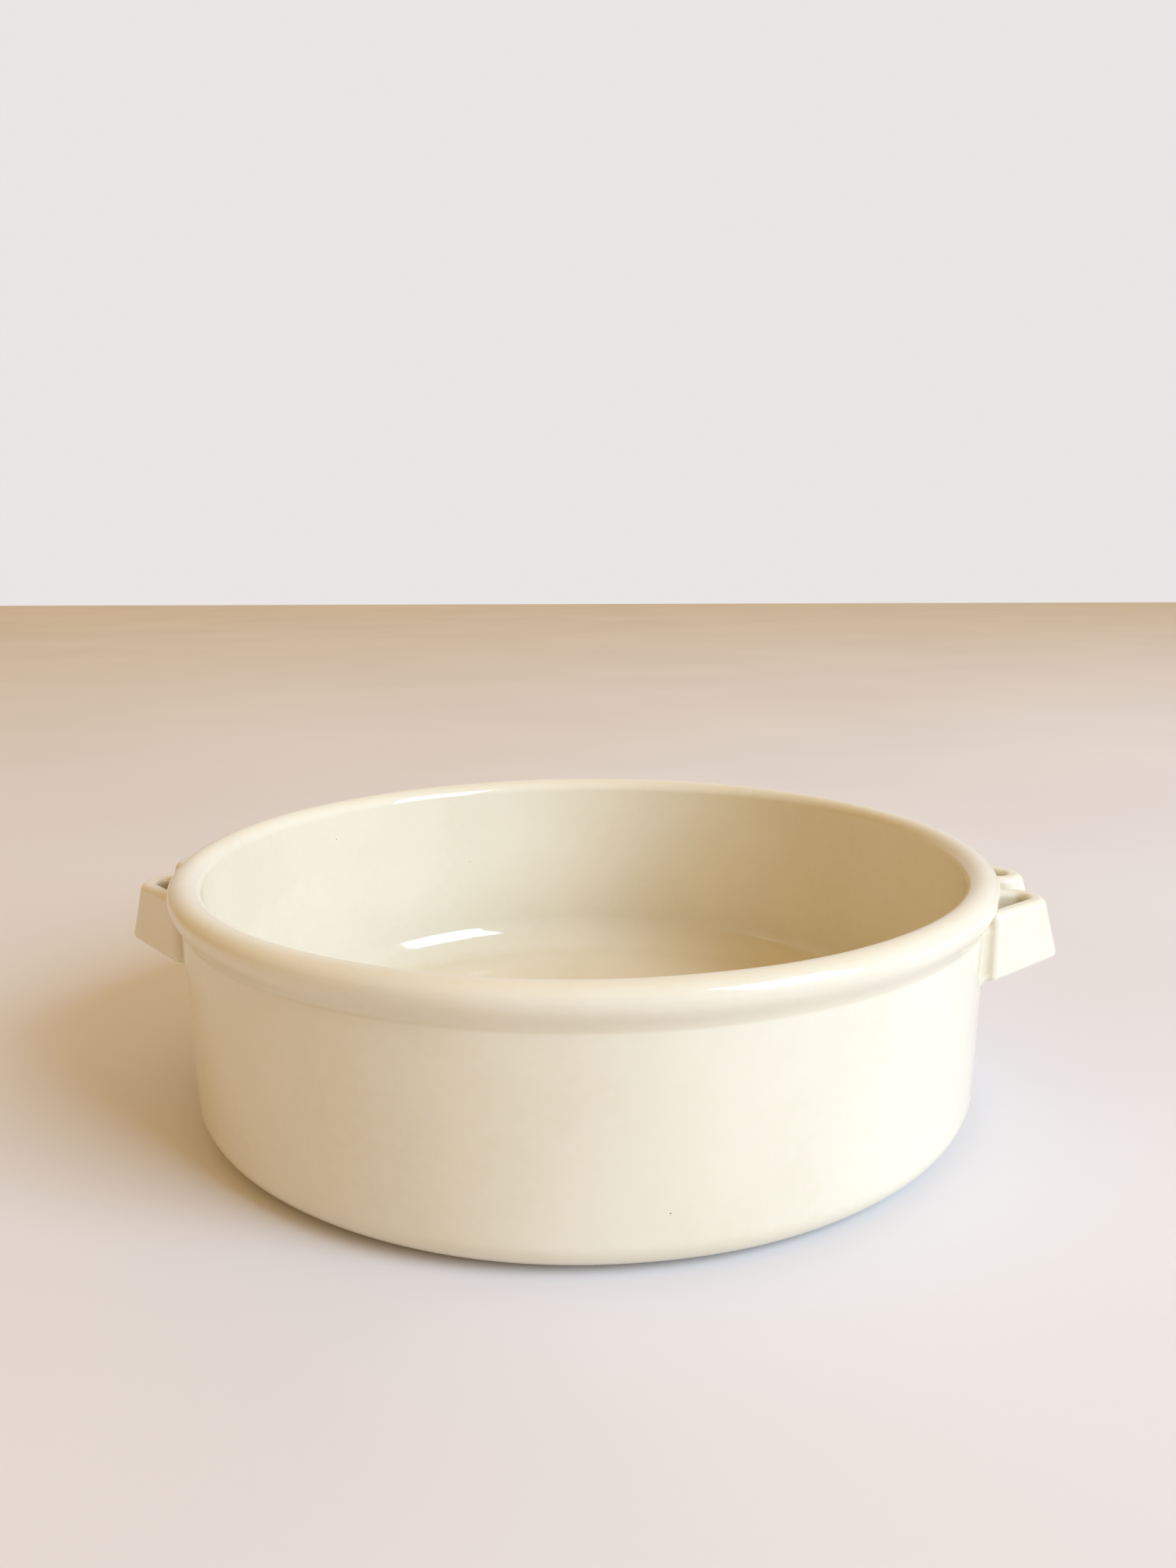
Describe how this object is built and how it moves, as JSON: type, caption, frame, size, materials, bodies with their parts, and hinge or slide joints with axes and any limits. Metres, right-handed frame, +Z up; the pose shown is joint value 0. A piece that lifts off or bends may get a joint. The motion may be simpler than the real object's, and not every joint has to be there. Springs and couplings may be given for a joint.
{
  "type": "serving bowl",
  "caption": "Wide straight-sided round porcelain bowl with a rolled rim, a coved floor and two finger loops on each side.",
  "frame": {"origin": "on the table, on the bowl's axis", "axes": "+Z up along the bowl's axis, finger loops on +X and -X"},
  "size_m": [0.3418, 0.3, 0.089],
  "materials": {
    "glaze": "high-gloss ivory glaze over porcelain",
    "bare_porcelain": "unglazed, fine matte"
  },
  "bodies": {
    "root": {"bowl_body": "glaze", "foot_ring": "bare_porcelain", "loop_left_front": "glaze", "loop_left_back": "glaze", "loop_right_front": "glaze", "loop_right_back": "glaze", "slip_left_front": "glaze", "slip_left_back": "glaze", "slip_right_front": "glaze", "slip_right_back": "glaze"}
  },
  "joints": []
}
